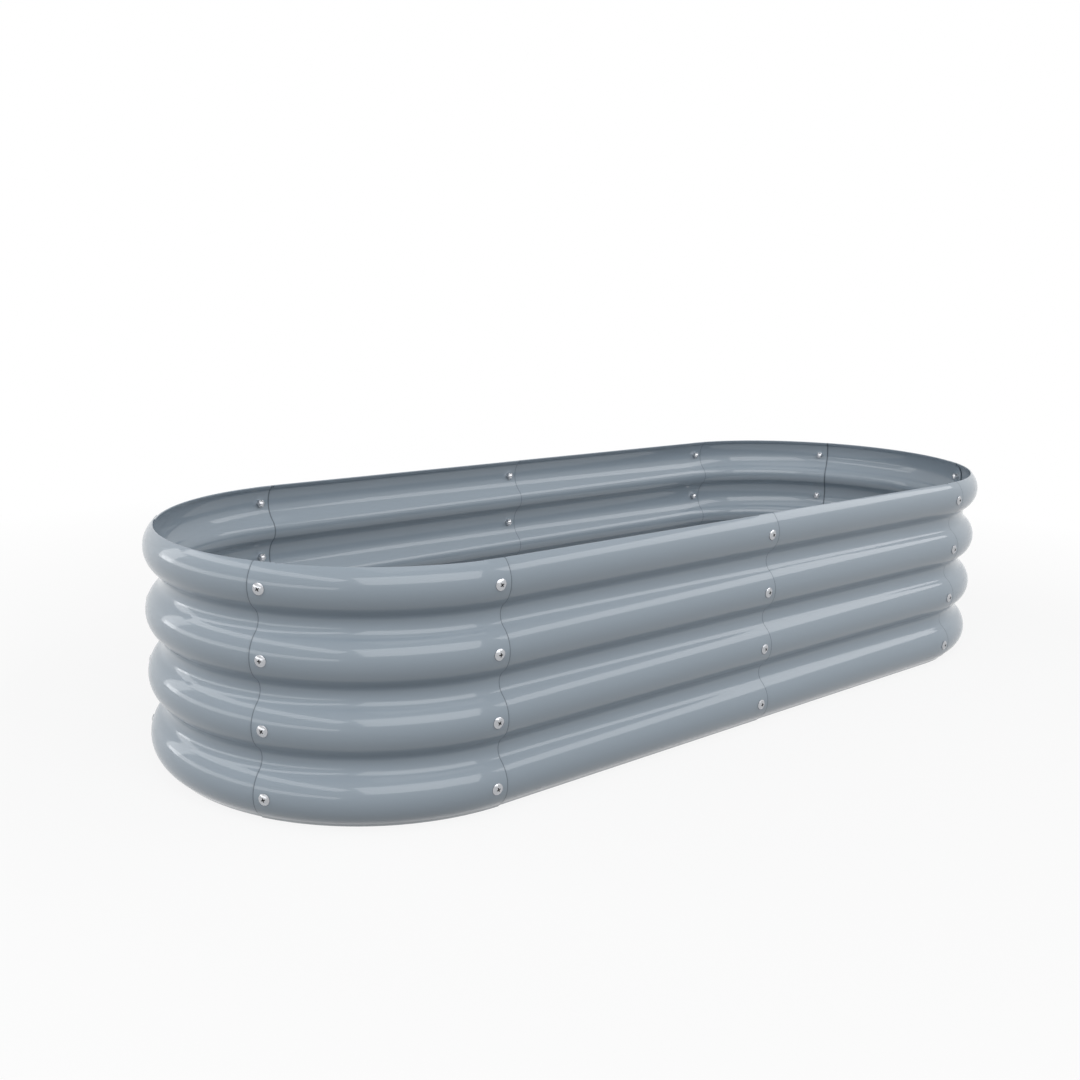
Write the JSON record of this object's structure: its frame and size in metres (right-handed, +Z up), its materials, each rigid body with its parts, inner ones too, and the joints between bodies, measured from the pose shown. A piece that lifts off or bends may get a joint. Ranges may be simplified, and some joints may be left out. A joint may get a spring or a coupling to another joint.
{
  "type": "raised garden bed",
  "caption": "Oval raised garden bed of corrugated painted steel sheets, lapped and bolted with cap nuts, open at top and bottom.",
  "frame": {"origin": "middle of the ground plane under the bed", "axes": "+X along the bed's length, -Y the front long side in the picture, +Z up"},
  "size_m": [1.478, 0.5856, 0.3039],
  "materials": {
    "sheet_paint": "gloss blue-grey coating",
    "screw_zinc": "bright zinc plate",
    "nut_zinc": "pale zinc plate"
  },
  "bodies": {
    "root": {"left_front_corner_sheet": "sheet_paint", "left_end_sheet": "sheet_paint", "left_back_corner_sheet": "sheet_paint", "right_front_corner_sheet": "sheet_paint", "right_end_sheet": "sheet_paint", "right_back_corner_sheet": "sheet_paint", "front_left_side_sheet": "sheet_paint", "front_right_side_sheet": "sheet_paint", "back_right_side_sheet": "sheet_paint", "back_left_side_sheet": "sheet_paint", "front_middle_screws": "screw_zinc", "back_middle_screws": "screw_zinc", "front_corner_screws": "screw_zinc", "back_corner_screws": "screw_zinc", "left_end_screws": "screw_zinc", "right_end_screws": "screw_zinc", "front_middle_nuts": "nut_zinc", "back_middle_nuts": "nut_zinc", "front_corner_nuts": "nut_zinc", "back_corner_nuts": "nut_zinc", "left_end_nuts": "nut_zinc", "right_end_nuts": "nut_zinc"}
  },
  "joints": []
}
